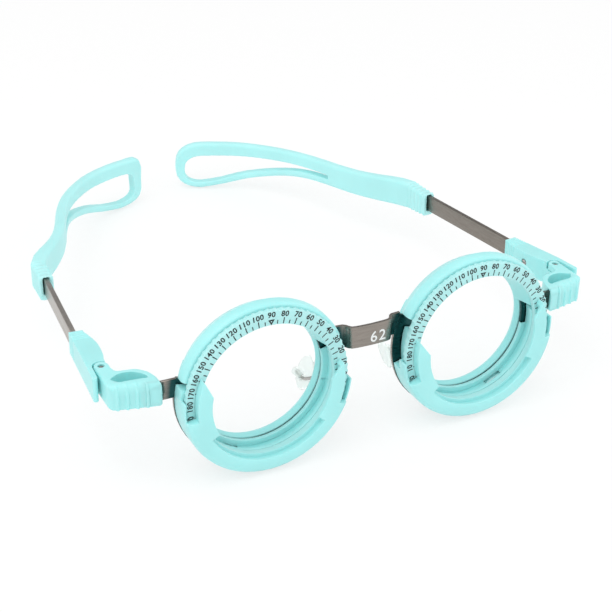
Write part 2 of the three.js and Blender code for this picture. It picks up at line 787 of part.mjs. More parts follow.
// A band with rounded edges that follows a route seen from above. A station gives its place on the route,
// its lowest and highest points and its thickness.
function band(route, stations, round) {
  const positions = [];
  const index = [];
  const count = 12;
  stations.forEach(({ along, low, high, thick }) => {
    const point = route.getPointAt(along);
    const tangent = route.getTangentAt(along);
    const radius = Math.min(round, thick * edgeShare, (high - low) * edgeShare);
    for (let k = 0; k < count; k += 1) {
      const quarter = Math.floor(k / 3);
      const angle = ((quarter + (k % 3) / 2) * Math.PI) / 2;
      const right = quarter === 0 || quarter === 3 ? 1 : -1;
      const up = quarter < 2 ? 1 : -1;
      const across = right * (thick / 2 - radius) + radius * Math.cos(angle);
      const height = (low + high) / 2 + up * ((high - low) / 2 - radius) + radius * Math.sin(angle);
      positions.push(point.x - tangent.y * across, point.y + tangent.x * across, height);
    }
  });
  const last = (stations.length - 1) * count;
  for (let i = 0; i < stations.length - 1; i += 1) {
    for (let k = 0; k < count; k += 1) {
      const a = i * count + k;
      const b = i * count + ((k + 1) % count);
      index.push(a, b, a + count, b, b + count, a + count);
    }
  }
  for (let k = 1; k < count - 1; k += 1) {
    index.push(0, k + 1, k, last, last + k, last + k + 1);
  }
  const geometry = new THREE.BufferGeometry();
  geometry.setAttribute('position', new THREE.Float32BufferAttribute(positions, 3));
  geometry.setIndex(index);
  return geometry;
}

// The ear loop lies in a tall thin sheet that bends inward; places are counted from its mouth
function earLoop(mouth) {
  const route = new THREE.SplineCurve(path2(loopRouteShares.map(([inward, back]) => [
    stripX - inward * loopInward,
    mouth + back * loopBack,
  ])));
  const length = route.getLength();
  const highAt = smooth(loopTopShares);
  const lowAt = smooth(loopBottomShares);
  const holeHighAt = smooth(holeTopShares);
  const holeLowAt = smooth(holeBottomShares);
  const endShare = 1 - loopEndRound / length;
  const stations = [];
  const ribPlaces = loopRibCount * 3;
  for (let i = 0; i <= ribPlaces; i += 1) {
    const along = ((i / 3) * loopRibPitch) / length;
    const dip = i % 3 === 1 || i === ribPlaces ? 0 : loopRibDepth;
    stations.push({
      along,
      low: lowAt(along) * loopHeight + dip,
      high: highAt(along) * loopHeight - dip,
      thick: loopSleeveThickness - 2 * dip,
    });
  }
  const plainStart = (loopRibCount * loopRibPitch) / length;
  for (let i = 1; i <= loopSteps; i += 1) {
    const along = plainStart + ((endShare - plainStart) * i) / loopSteps;
    const fade = Math.min(1, (along - plainStart) / loopFadeShare);
    const thick = THREE.MathUtils.lerp(loopSleeveThickness, loopThickness, fade * fade * (3 - 2 * fade));
    stations.push({ along, low: lowAt(along) * loopHeight, high: highAt(along) * loopHeight, thick });
  }
  closeBand(stations, endShare, loopEndRound / length, loopThickness);
  const holeStations = [];
  for (let i = 0; i <= holeSteps; i += 1) {
    const along = holeStartShare + ((endShare - holeStartShare) * i) / holeSteps;
    holeStations.push({
      along,
      low: holeLowAt(along) * loopHeight,
      high: holeHighAt(along) * loopHeight,
      thick: loopThickness + 2 * overrun,
    });
  }
  closeBand(holeStations, endShare, (loopEndRound - loopEndBar) / length, loopThickness + 2 * overrun);
  const opened = cut(band(route, stations, loopRound), band(route, holeStations, holeRound));
  const halfThick = stripThickness / 2 + gap;
  const halfTall = stripHeight / 2 + gap;
  const socket = box(
    stripX - halfThick, stripX + halfThick,
    mouth - overrun, mouth + loopSocketDepth,
    stripZ - halfTall, stripZ + halfTall,
  );
  return cut(opened, socket);
}

// Rounds off a band beyond its last station
function closeBand(stations, start, reach, thick) {
  const { low, high } = stations[stations.length - 1];
  for (let i = 1; i <= closeSteps; i += 1) {
    const angle = (i / closeSteps) * closeAngle;
    const shrink = Math.cos(angle) ** closeShare;
    const half = ((high - low) / 2) * shrink;
    const middle = (high + low) / 2;
    stations.push({
      along: start + reach * Math.sin(angle),
      low: middle - half,
      high: middle + half,
      thick,
    });
  }
}

function postAlongY(radius, front, back) {
  const geometry = new THREE.CylinderGeometry(radius, radius, back - front, smallSteps);
  return geometry.translate(0, (front + back) / 2, 0);
}

// The pad is an oval cushion; its boss lies outboard and holds the end of the wire
function nosePad() {
  const cushion = new THREE.SphereGeometry(1, smallSteps * 1.5, smallSteps);
  cushion.scale(padThickness / 2, padDepth / 2, padHeight / 2);
  cushion.rotateY(-padSplay).rotateZ(-padFlare);
  const boss = postAlongY(padBossRadius, -padBossLength / 2, padBossLength / 2).translate(padBossOut, 0, 0);
  const bore = postAlongY(wireRadius + gap, -padBossLength - overrun, padBossLength / 2 - padBossRadius / 2);
  return cut(join(cushion, boss), bore.translate(padBossOut, 0, 0));
}

// Wire from its seat in the rear ring to the boss of the pad, drawn from the pad's place
function padArm() {
  const seatX = pupilDistance / 2 + wireX - padX;
  const seatZ = wireZ - padZ;
  const bossBack = padBossLength / 2 - padBossRadius / 2 - gap;
  const points = [
    [seatX, rearBack - wireSeat - padY, seatZ],
    [seatX, rearBack + gap - padY, seatZ],
    [padBossOut, -padBossLength / 2 - gap, 0],
    [padBossOut, bossBack, 0],
  ].map((point) => new THREE.Vector3(...point));
  const path = new THREE.CatmullRomCurve3(points, false, 'centripetal');
  const section = new THREE.Shape();
  section.absarc(0, 0, wireRadius, 0, fullTurn, false);
  return new THREE.ExtrudeGeometry(section, {
    steps: smallSteps,
    curveSegments: smallSteps / 3,
    extrudePath: path,
  });
}

const sides = [
  { name: 'right', sign: -1, mouth: mouthRight },
  { name: 'left', sign: 1, mouth: mouthLeft },
];

// Every piece is drawn for the left side, and mirrored for the right
function piece(name, geometry, material, side) {
  const shape = side.sign > 0 ? geometryOf(solidOf(geometry)) : mirrored(geometry);
  const mesh = new THREE.Mesh(shape, material);
  mesh.name = `${name}_${side.name}`;
  return mesh;
}

const trialFrame = new THREE.Group();
const front = new THREE.Group();
trialFrame.add(front);

const plate = new THREE.Mesh(metalFront(), steel);
plate.name = 'metal_front';
front.add(plate);

const shared = {
  rearRing: rearRing(),
  scaleDial: scaleDial(),
  lensHolder: lensHolder(),
  lensSpring: springLeaf(0),
  endBlock: endBlock(),
  hingePin: hingePin(),
  templeSleeve: templeSleeve(),
  templeStrip: stripSolid(0),
  sleeveScrew: sleeveScrew(),
  nosePad: nosePad(),
  padArm: padArm(),
};

sides.forEach((side) => {
  const lens = new THREE.Group();
  lens.position.x = (side.sign * pupilDistance) / 2;
  lens.add(piece('rear_ring', shared.rearRing, aqua, side));
  lens.add(piece('scale_dial', shared.scaleDial, dialAqua, side));
  lens.add(piece('lens_holder', shared.lensHolder, aqua, side));
  lens.add(piece('lens_spring', shared.lensSpring, brightSteel, side));

  const hinge = new THREE.Group();
  hinge.position.set(side.sign * pinX, pinY, 0);
  hinge.add(piece('end_block', shared.endBlock, aqua, side));
  hinge.add(piece('hinge_pin', shared.hingePin, brightSteel, side));

  const fold = new THREE.Group();
  fold.rotation.z = side.sign * templeLean;
  const temple = new THREE.Group();
  temple.rotation.x = -templeDroop;
  temple.add(piece('temple_sleeve', shared.templeSleeve, aqua, side));
  temple.add(piece('temple_strip', shared.templeStrip, steel, side));
  temple.add(piece('sleeve_screw', shared.sleeveScrew, brightSteel, side));
  temple.add(piece('ear_loop', earLoop(side.mouth), softAqua, side));
  fold.add(temple);
  hinge.add(fold);

  const nose = new THREE.Group();
  nose.position.set(side.sign * padX, padY, padZ);
  nose.add(piece('nose_pad', shared.nosePad, clearSoft, side));
  nose.add(piece('pad_arm', shared.padArm, brightSteel, side));
  front.add(lens, hinge, nose);
});

function lowestOf(name) {
  trialFrame.updateMatrixWorld(true);
  return new THREE.Box3().setFromObject(trialFrame.getObjectByName(name), true).min.z;
}

// The frame stands on its lens holders and on the ear loop that reaches lowest, so it leans a little
const standingLength = pinY + mouthLeft + loopBack;
for (let i = 0; i < pitchPasses; i += 1) {
  front.rotation.x -= (lowestOf('ear_loop_left') - lowestOf('lens_holder_left')) / standingLength;
}
trialFrame.updateMatrixWorld(true);
const bounds = new THREE.Box3().setFromObject(trialFrame, true);
const centre = bounds.getCenter(new THREE.Vector3());
front.position.set(-centre.x, -centre.y, -bounds.min.z);

export default trialFrame;
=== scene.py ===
"""Optical trial frame: the CAD frame dressed with finishes, dial print, soft ear loops and nose pads."""

import json
import math
from contextlib import contextmanager

import bpy
from bpy.props import FloatProperty, FloatVectorProperty, PointerProperty
from mathutils import Matrix, Vector

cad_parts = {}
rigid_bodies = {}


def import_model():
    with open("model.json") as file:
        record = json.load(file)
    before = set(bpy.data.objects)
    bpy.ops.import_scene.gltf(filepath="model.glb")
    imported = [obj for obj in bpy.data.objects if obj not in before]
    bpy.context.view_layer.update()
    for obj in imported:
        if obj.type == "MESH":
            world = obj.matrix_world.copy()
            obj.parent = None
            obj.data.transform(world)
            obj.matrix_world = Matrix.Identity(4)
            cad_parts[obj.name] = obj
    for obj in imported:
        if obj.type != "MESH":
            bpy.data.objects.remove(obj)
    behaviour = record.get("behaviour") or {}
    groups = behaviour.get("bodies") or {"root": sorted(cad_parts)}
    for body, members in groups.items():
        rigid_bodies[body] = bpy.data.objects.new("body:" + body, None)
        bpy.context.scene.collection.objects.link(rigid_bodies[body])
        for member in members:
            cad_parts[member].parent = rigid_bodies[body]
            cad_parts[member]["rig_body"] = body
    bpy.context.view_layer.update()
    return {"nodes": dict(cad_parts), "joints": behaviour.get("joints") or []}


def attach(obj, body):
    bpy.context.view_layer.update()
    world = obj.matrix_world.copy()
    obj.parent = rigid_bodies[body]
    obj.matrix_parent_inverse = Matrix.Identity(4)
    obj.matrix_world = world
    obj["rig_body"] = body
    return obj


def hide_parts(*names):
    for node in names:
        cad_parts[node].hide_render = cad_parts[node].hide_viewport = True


bl_info = {
    "name": "Optical Trial Frame",
    "version": (1, 0, 0),
    "blender": (4, 5, 0),
    "location": "View3D > Sidebar > Trial Frame",
    "description": "Builds a trial frame with turning dials, folding temples and soft ear loops",
    "category": "Object",
}

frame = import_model()
SIDES = {"right": -1, "left": 1}
MM = 0.001


def joint(name):
    """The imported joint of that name."""
    return next(j for j in frame["joints"] if j["name"] == name)


LENS_CENTRES = {side: Vector(joint(f"dial_spin_{side}")["pos_m"]) for side in SIDES}
LENS_SPACING = (LENS_CENTRES["left"] - LENS_CENTRES["right"]).length


def lens_frame():
    """Axes of the lenses: X to the wearer's left, Y back along them, Z up, from midway between the two."""
    left, right = LENS_CENTRES["left"], LENS_CENTRES["right"]
    back = Vector(joint("dial_spin_left")["axis"]).normalized()
    across = (left - right).normalized()
    up = across.cross(back)
    axes = Matrix((across, back, up)).transposed().to_4x4()
    return Matrix.Translation((left + right) / 2) @ axes


LENS_FRAME = lens_frame()


def linear(hex_colour):
    """An sRGB hex colour as linear red, green, blue and alpha."""
    channels = [int(hex_colour[i : i + 2], 16) / 255 for i in (1, 3, 5)]
    return [c / 12.92 if c <= 0.04045 else ((c + 0.055) / 1.055) ** 2.4 for c in channels] + [1.0]


# Settings


def size_prop(name, description, default_mm):
    """A length property in metres, from its size in millimetres."""
    return FloatProperty(
        name=name, description=description, default=default_mm * MM, unit="LENGTH", precision=5
    )


def colour_prop(name, description, hex_colour):
    """A colour property, from its sRGB hex value."""
    return FloatVectorProperty(
        name=name, description=description, default=linear(hex_colour), subtype="COLOR", size=4, min=0, max=1
    )


class TrialFrameSizes(bpy.types.PropertyGroup):
    """Sizes of what is added to the CAD frame."""

    edge_round: size_prop("Edge round", "Rounding of the edges of rings and holders", 0.22)
    thin_round: size_prop("Thin edge round", "Rounding of the edges of the dials and rear lips", 0.12)
    block_voxel: size_prop("Block grain", "Voxel size of the end blocks and temple sleeves", 0.12)
    loop_swell: size_prop("Ear loop swell", "How far the soft rubber closes up round the strip", 0.12)
    steel_round: size_prop("Steel edge round", "Rounding of stamped steel edges", 0.08)
    digit_height: size_prop("Digit height", "Height of the dial numbers", 1.42)
    number_radius: size_prop("Number circle", "Radius of the circle through the dial numbers", 21.25)
    tick_inner: size_prop("Tick inner end", "Radius where the dial lines start", 18.65)
    tick_long: size_prop("Long tick", "Length of a line at each ten degrees", 1.65)
    tick_short: size_prop("Short tick", "Length of a line between the tens", 1.0)
    tick_width: size_prop("Tick width", "Width of a dial line", 0.26)
    print_height: size_prop("Print height", "How far the print stands proud", 0.02)
    bridge_digit: size_prop("Bridge number height", "Height of the pupil distance on the bridge", 3.05)
    loop_voxel: size_prop("Ear loop grain", "Voxel size of the soft ear loops", 0.2)
    pad_voxel: size_prop("Nose pad grain", "Voxel size of the nose pads", 0.25)


class TrialFrameColours(bpy.types.PropertyGroup):
    """Colours of the finishes."""

    plastic: colour_prop("Plastic", "Moulded aqua plastic", "#A9EBEB")
    dial: colour_prop("Dial", "Plastic of the scale dials", "#B3E9E9")
    silicone: colour_prop("Silicone", "Soft aqua ear loops", "#B4EFEF")
    pad: colour_prop("Nose pads", "Clear soft pads", "#FAFEFC")
    steel: colour_prop("Spring steel", "Stamped plate with its bridge", "#958E87")
    # The two temple strips are one steel: the right one's colour is lightened by painted light, the left
    # one's darkened by painted shade
    strip_right: colour_prop("Right strip", "Spring steel of the right temple", "#B4AEA8")
    strip_left: colour_prop("Left strip", "Spring steel of the left temple", "#8B847D")
    # Painted shade and reflection: the dark teal put on the plate's front and bore near the lenses
    shaded: colour_prop("Shaded steel", "Plate between the plastic rings", "#264C4C")
    # Painted reflection: the steel leaf springs get a pale teal, the aqua slot around them as if mirrored in
    # them
    spring: colour_prop("Lens spring", "Leaf springs in the rear lens slots", "#BFDCDC")
    bright: colour_prop("Bright steel", "Pins, screws and wires", "#B9B7B3")
    ink: colour_prop("Ink", "Dial print", "#101818")
    white_ink: colour_prop("White ink", "Bridge number", "#EDEFEF")


class TrialFrameStage(bpy.types.PropertyGroup):
    """Camera, light and floor."""

    focal_px: FloatProperty(
        name="Focal length", description="In pixels of a 612 pixel wide picture", default=1380.3
    )
    world_light: FloatProperty(name="World light", description="Level of the light all round", default=0.8)
    key_light: FloatProperty(
        name="Key light", description="Power of the large lamp above", default=2.4, unit="POWER"
    )
    floor_shadow: FloatProperty(
        name="Floor shadow", description="How much of the floor's shading shows", default=0.3,
        subtype="FACTOR",
    )


def sizes():
    """The size settings of this scene."""
    return bpy.context.scene.trial_frame_sizes


def colours():
    """The colour settings of this scene."""
    return bpy.context.scene.trial_frame_colours


def staging():
    """The stage settings of this scene."""
    return bpy.context.scene.trial_frame_stage


# Materials

# Sizes of the patterns: flow clouds in a moulding, rolling lines, haze in silicone, cover of printed ink.
# The rolling lines, and the grain of a moulding, are finer on the real part and drawn coarser here to show
CLOUD_SIZE = 14 * MM
LINE_SPACING = 0.35 * MM
HAZE_SIZE = 3 * MM
INK_COVER_SIZE = 0.4 * MM
# Depths of the relief on mouldings, rolled steel and silicone
GRAIN_DEPTH = 0.02 * MM
LINE_DEPTH = 0.01 * MM
HAZE_DEPTH = 0.03 * MM
# How much glossier or duller than its mean a moulding is in places, and how much rolled steel is each way
GLOSS_SPREAD = 0.05
STEEL_GLOSSIER = 0.06
STEEL_DULLER = 0.1
# Scales that draw the rolling lines out along X, Y or Z
ALONG_X = (0.06, 1, 1)
ALONG_Y = (1, 0.06, 1)
ALONG_Z = (1, 1, 0.2)
# Radii from a lens axis within which the plate gets its painted shade, fading from the first to the second
BORE_EDGE = (18.3 * MM, 18.9 * MM)
RING_EDGE = (24.2 * MM, 26.0 * MM)
# How far a face points back along Y, where the painted shade on the front fades out
FRONT_FADE = (-0.6, -0.2)
VIEWPORT_COLOUR = (0.6, 0.8, 0.8, 1)


def add_node(tree, kind, settings=None, links=None):
    """Adds a shader node, sets its inputs or attributes, and links (input, source socket) pairs."""
    node = tree.nodes.new(kind)
    for key, value in (settings or {}).items():
        if isinstance(key, int) or key in node.inputs:
            node.inputs[key].default_value = value
        else:
            setattr(node, key, value)
    for key, source in (links or {}).items():
        tree.links.new(source, node.inputs[key])
    return node


def new_material(name):
    """A new material whose node tree is empty, and that tree."""
    material = bpy.data.materials.new(name)
    material.use_nodes = True
    tree = material.node_tree
    tree.nodes.clear()
    return material, tree


def finish_material(material, tree, shader):
    """Links the last shader to the output."""
    add_node(tree, "ShaderNodeOutputMaterial", links={"Surface": shader.outputs[0]})
    material.diffuse_color = VIEWPORT_COLOUR
    return material


def moulded_plastic(name, colour, roughness, grain_mm, bump, depth_mm):
    """Moulded pale plastic or rubber: faint flow clouds, a satin grain, and light that sinks into it."""
    material, tree = new_material(name)
    place = add_node(tree, "ShaderNodeTexCoord").outputs["Object"]
    clouds = add_node(
        tree, "ShaderNodeTexNoise", {"Scale": 1 / CLOUD_SIZE, "Detail": 2.0, "Roughness": 0.5},
        {"Vector": place},
    )
    shade = add_node(
        tree, "ShaderNodeMapRange", {"From Min": 0.3, "From Max": 0.7, "To Min": 0.965, "To Max": 1.02},
        {"Value": clouds.outputs["Fac"]},
    )
    tint = add_node(tree, "ShaderNodeHueSaturation", {"Color": colour}, {"Value": shade.outputs["Result"]})
    grain = add_node(
        tree, "ShaderNodeTexNoise", {"Scale": 1 / (grain_mm * MM), "Detail": 3.0}, {"Vector": place}
    )
    relief = add_node(
        tree, "ShaderNodeBump", {"Strength": bump, "Distance": GRAIN_DEPTH}, {"Height": grain.outputs["Fac"]}
    )
    gloss = add_node(
        tree, "ShaderNodeMapRange", {"To Min": roughness - GLOSS_SPREAD, "To Max": roughness + GLOSS_SPREAD},
        {"Value": grain.outputs["Fac"]},
    )
    shader = add_node(
        tree, "ShaderNodeBsdfPrincipled",
        {
            "IOR": 1.46,
            "Subsurface Weight": 0.3,
            "Subsurface Radius": (0.8, 1.0, 1.0),
            "Subsurface Scale": depth_mm * MM,
        },
        {
            "Base Color": tint.outputs["Color"],
            "Roughness": gloss.outputs["Result"],
            "Normal": relief.outputs["Normal"],
        },
    )
    return finish_material(material, tree, shader)


def ring_shade(tree, place, colour, shaded):
    """The steel's colour with painted shade and reflection: near a lens its front and bore are turned to the
    dark teal that the rings would throw on them and mirror in them.
    """
    distances = []
    for sign in SIDES.values():
        centre = LENS_FRAME @ Vector((sign * LENS_SPACING / 2, 0, 0))
        offset = add_node(
            tree, "ShaderNodeVectorMath", {"operation": "SUBTRACT", 1: centre}, {0: place}
        )
        flat = add_node(
            tree, "ShaderNodeVectorMath", {"operation": "MULTIPLY", 1: (1, 0, 1)},
            {0: offset.outputs["Vector"]},
        )
        length = add_node(
            tree, "ShaderNodeVectorMath", {"operation": "LENGTH"}, {0: flat.outputs["Vector"]}
        )
        distances.append(length.outputs["Value"])
    nearest = add_node(
        tree, "ShaderNodeMath", {"operation": "MINIMUM"}, {0: distances[0], 1: distances[1]}
    )
    clear_of_ring, clear_of_bore = (
        add_node(
            tree, "ShaderNodeMapRange", {"From Min": inner, "From Max": outer}, {"Value": nearest.outputs[0]}
        )
        for inner, outer in (RING_EDGE, BORE_EDGE)
    )
    backwards = add_node(
        tree, "ShaderNodeVectorMath", {"operation": "DOT_PRODUCT", 1: (0, 1, 0)},
        {0: add_node(tree, "ShaderNodeTexCoord").outputs["Normal"]},
    )
    away = add_node(
        tree, "ShaderNodeMapRange", {"From Min": FRONT_FADE[0], "From Max": FRONT_FADE[1]},
        {"Value": backwards.outputs["Value"]},
    )
    behind = add_node(
        tree, "ShaderNodeMath", {"operation": "MINIMUM"},
        {0: away.outputs["Result"], 1: clear_of_bore.outputs["Result"]},
    )
    share = add_node(
        tree, "ShaderNodeMath", {"operation": "MAXIMUM"},
        {0: behind.outputs[0], 1: clear_of_ring.outputs["Result"]},
    )
    blend = add_node(
        tree, "ShaderNodeMix", {"data_type": "RGBA", 6: shaded, 7: colour}, {0: share.outputs[0]}
    )
    return blend.outputs[2]


def drawn_steel(name, colour, roughness, stretch, shaded=None):
    """Cold rolled spring steel: fine lines along the strip break up a polished grey."""
    material, tree = new_material(name)
    place = add_node(tree, "ShaderNodeTexCoord").outputs["Object"]
    along = add_node(tree, "ShaderNodeMapping", {"Scale": stretch}, {"Vector": place})
    lines = add_node(
        tree, "ShaderNodeTexNoise", {"Scale": 1 / LINE_SPACING, "Detail": 4.0},
        {"Vector": along.outputs["Vector"]},
    )
    tone = add_node(
        tree, "ShaderNodeMapRange", {"From Min": 0.3, "From Max": 0.7, "To Min": 0.88, "To Max": 1.08},
        {"Value": lines.outputs["Fac"]},
    )
    tint = add_node(tree, "ShaderNodeHueSaturation", {"Color": colour}, {"Value": tone.outputs["Result"]})
    # Near the lenses the colour turns to painted shade and reflection in dark teal
    if shaded:
        tree.links.new(ring_shade(tree, place, colour, shaded), tint.inputs["Color"])
    gloss = add_node(
        tree, "ShaderNodeMapRange",
        {"To Min": roughness - STEEL_GLOSSIER, "To Max": roughness + STEEL_DULLER},
        {"Value": lines.outputs["Fac"]},
    )
    relief = add_node(
        tree, "ShaderNodeBump", {"Strength": 0.15, "Distance": LINE_DEPTH}, {"Height": lines.outputs["Fac"]}
    )
    shader = add_node(
        tree, "ShaderNodeBsdfPrincipled", {"Metallic": 1.0},
        {
            "Base Color": tint.outputs["Color"],
            "Roughness": gloss.outputs["Result"],
            "Normal": relief.outputs["Normal"],
        },
    )
    return finish_material(material, tree, shader)


def clear_silicone(name, colour):
    """Clear cast silicone: see-through with a milky skin and a soft shine."""
    material, tree = new_material(name)
    place = add_node(tree, "ShaderNodeTexCoord").outputs["Object"]
    haze = add_node(tree, "ShaderNodeTexNoise", {"Scale": 1 / HAZE_SIZE, "Detail": 2.0}, {"Vector": place})
    relief = add_node(
        tree, "ShaderNodeBump", {"Strength": 0.05, "Distance": HAZE_DEPTH}, {"Height": haze.outputs["Fac"]}
    )
    gloss = add_node(
        tree, "ShaderNodeMapRange", {"To Min": 0.5, "To Max": 0.65}, {"Value": haze.outputs["Fac"]}
    )
    shader = add_node(
        tree, "ShaderNodeBsdfPrincipled",
        {"Base Color": colour, "IOR": 1.1, "Transmission Weight": 0.8},
        {"Normal": relief.outputs["Normal"], "Roughness": gloss.outputs["Result"]},
    )
    return finish_material(material, tree, shader)


def pad_ink(name, colour):
    """Pad printed ink: a thin matt film with slightly uneven cover."""
    material, tree = new_material(name)
    place = add_node(tree, "ShaderNodeTexCoord").outputs["Object"]
    cover = add_node(
        tree, "ShaderNodeTexNoise", {"Scale": 1 / INK_COVER_SIZE, "Detail": 2.0}, {"Vector": place}
    )
    shade = add_node(
        tree, "ShaderNodeMapRange", {"To Min": 0.8, "To Max": 1.25}, {"Value": cover.outputs["Fac"]}
    )
    tint = add_node(tree, "ShaderNodeHueSaturation", {"Color": colour}, {"Value": shade.outputs["Result"]})
    shader = add_node(
        tree, "ShaderNodeBsdfPrincipled", {"Roughness": 0.55, "IOR": 1.5},
        {"Base Color": tint.outputs["Color"]},
    )
    return finish_material(material, tree, shader)


# Helpers

# Edges that turn by more than this stay sharp in the shading
SMOOTH_ANGLE = math.radians(40)
# Faces of a CAD node that turn by less than this are one face again
FLAT_ANGLE = math.radians(0.6)
# Corners nearer than this are one, in a CAD node's loose triangles and in the print
MERGE_DISTANCE = 1e-6
PRINT_MERGE_DISTANCE = 1e-7


def only(*objects):
    """Selects these objects and nothing else, the last of them active."""
    if bpy.context.mode != "OBJECT":
        bpy.ops.object.mode_set(mode="OBJECT")
    bpy.ops.object.select_all(action="DESELECT")
    for one in objects:
        one.select_set(True)
    bpy.context.view_layer.objects.active = objects[-1]


@contextmanager
def edit_mode(obj, select="SELECT"):
    """Edit mode on one piece, with all of it selected unless told otherwise, and object mode after."""
    only(obj)
    bpy.ops.object.mode_set(mode="EDIT")
    if select:
        bpy.ops.mesh.select_all(action=select)
    yield
    bpy.ops.object.mode_set(mode="OBJECT")


def apply_modifier(obj, kind, **settings):
    """Adds a modifier with its settings and applies it."""
    modifier = obj.modifiers.new(kind.title(), kind)
    for key, value in settings.items():
        setattr(modifier, key, value)
    only(obj)
    bpy.ops.object.modifier_apply(modifier=modifier.name)


def merged_copy(node, name):
    """A copy of a CAD node with its loose triangles joined up again."""
    source = frame["nodes"][node]
    obj = bpy.data.objects.new(name, source.data.copy())
    bpy.context.scene.collection.objects.link(obj)
    obj.data.materials.clear()
    with edit_mode(obj):
        bpy.ops.mesh.customdata_custom_splitnormals_clear()
        bpy.ops.mesh.remove_doubles(threshold=MERGE_DISTANCE)
    return obj


def place_on(obj, material, node):
    """Gives a finished piece its material and the body of the CAD node it stands for, and hides that node."""
    obj.data.materials.clear()
    obj.data.materials.append(material)
    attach(obj, frame["nodes"][node]["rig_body"])
    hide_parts(node)


def round_edges(obj, width, angle, miter="MITER_SHARP"):
    """Bevels the edges that turn by more than an angle, and shades the piece smooth between its corners."""
    if width:
        apply_modifier(
            obj, "BEVEL", width=width, segments=2, limit_method="ANGLE", angle_limit=angle, miter_outer=miter
        )
    only(obj)
    bpy.ops.object.shade_smooth_by_angle(angle=SMOOTH_ANGLE)


def rounded_piece(node, name, material, width, angle=28, flatten=True):
    """A CAD node's shape with its sharp edges rounded, as a mould or a tumbled stamping leaves them."""
    obj = merged_copy(node, name)
    if flatten:
        with edit_mode(obj):
            bpy.ops.mesh.dissolve_limited(angle_limit=FLAT_ANGLE)
    round_edges(obj, width, math.radians(angle), "MITER_ARC")
    place_on(obj, material, node)
    return obj


def outline_face(name, points):
    """A flat face with its corners at these points, in millimetres."""
    bpy.ops.mesh.primitive_circle_add(vertices=len(points), fill_type="NGON", location=(0, 0, 0))
    obj = bpy.context.object
    obj.name = name
    for vertex, point in zip(obj.data.vertices, points):
        vertex.co = Vector(point) * MM
    return obj


# Pieces

# The holder's rear lip and its collar beside the nose: radius from the lens axis and depth behind the dial's
# face, in millimetres
LIP_OUTLINE = ((17.6, 5.0), (19.4, 5.0), (19.4, 5.48), (17.84, 5.48), (17.84, 6.1), (17.6, 6.1))
COLLAR_OUTLINE = (
    (18.6, 1.92), (20.8, 1.92), (20.8, 5.48), (17.84, 5.48), (17.84, 6.1),
    (17.6, 6.1), (17.6, 5.0), (19.2, 5.0), (19.2, 3.1), (18.6, 3.1),
)
# Each with the start and the length of its arc in degrees, counted from the temple's side upwards
LIPS = (("rear_lip", LIP_OUTLINE, 192, 162), ("nasal_collar", COLLAR_OUTLINE, 164, 30))
ARC_STEP = 3
# The end block's front over the plate's tab, and the ridge there: place along Y from the hinge pin, and
# height over the lens axes, in millimetres
PLUG_OUTLINE = (
    (-13.5, 0.2), (-13.5, 4.1), (-13.43, 4.84), (-13.27, 5.38),
    (-13.02, 5.82), (-12.66, 6.15), (-11.9, 6.15), (-11.9, 0.2),
)
RIDGE_OUTLINE = (
    (-13.93, 0.1), (-13.93, 4.1), (-13.86, 4.86), (-13.68, 5.45),
    (-13.36, 5.94), (-12.9, 6.3), (-12.3, 6.3), (-12.3, 0.1),
)
# Each with its inboard end outwards from the hinge pin and its length, in millimetres, and its rounding
FRONT_MENDS = (
    ("block_plug", PLUG_OUTLINE, -10.6, 4.35, 0),
    ("block_ridge", RIDGE_OUTLINE, -7.62, 0.64, 0.28 * MM),
)
# Slope of the end block's front, and its inboard face outwards from the hinge pin, in millimetres
FACE_SLOPE = 2.9 / 12.8
INBOARD_FACE = -10.9
# How far the mends stand out of the front, in millimetres, so that no two faces share a plane
MEND_PROUD = 0.005
# Smoothing passes of the small mouldings
SOFT_EDGED = (("end_block", 3), ("temple_sleeve", 1))
# Where the plate's tab ends, outwards from between the lenses
TAB_END = 58.2 * MM


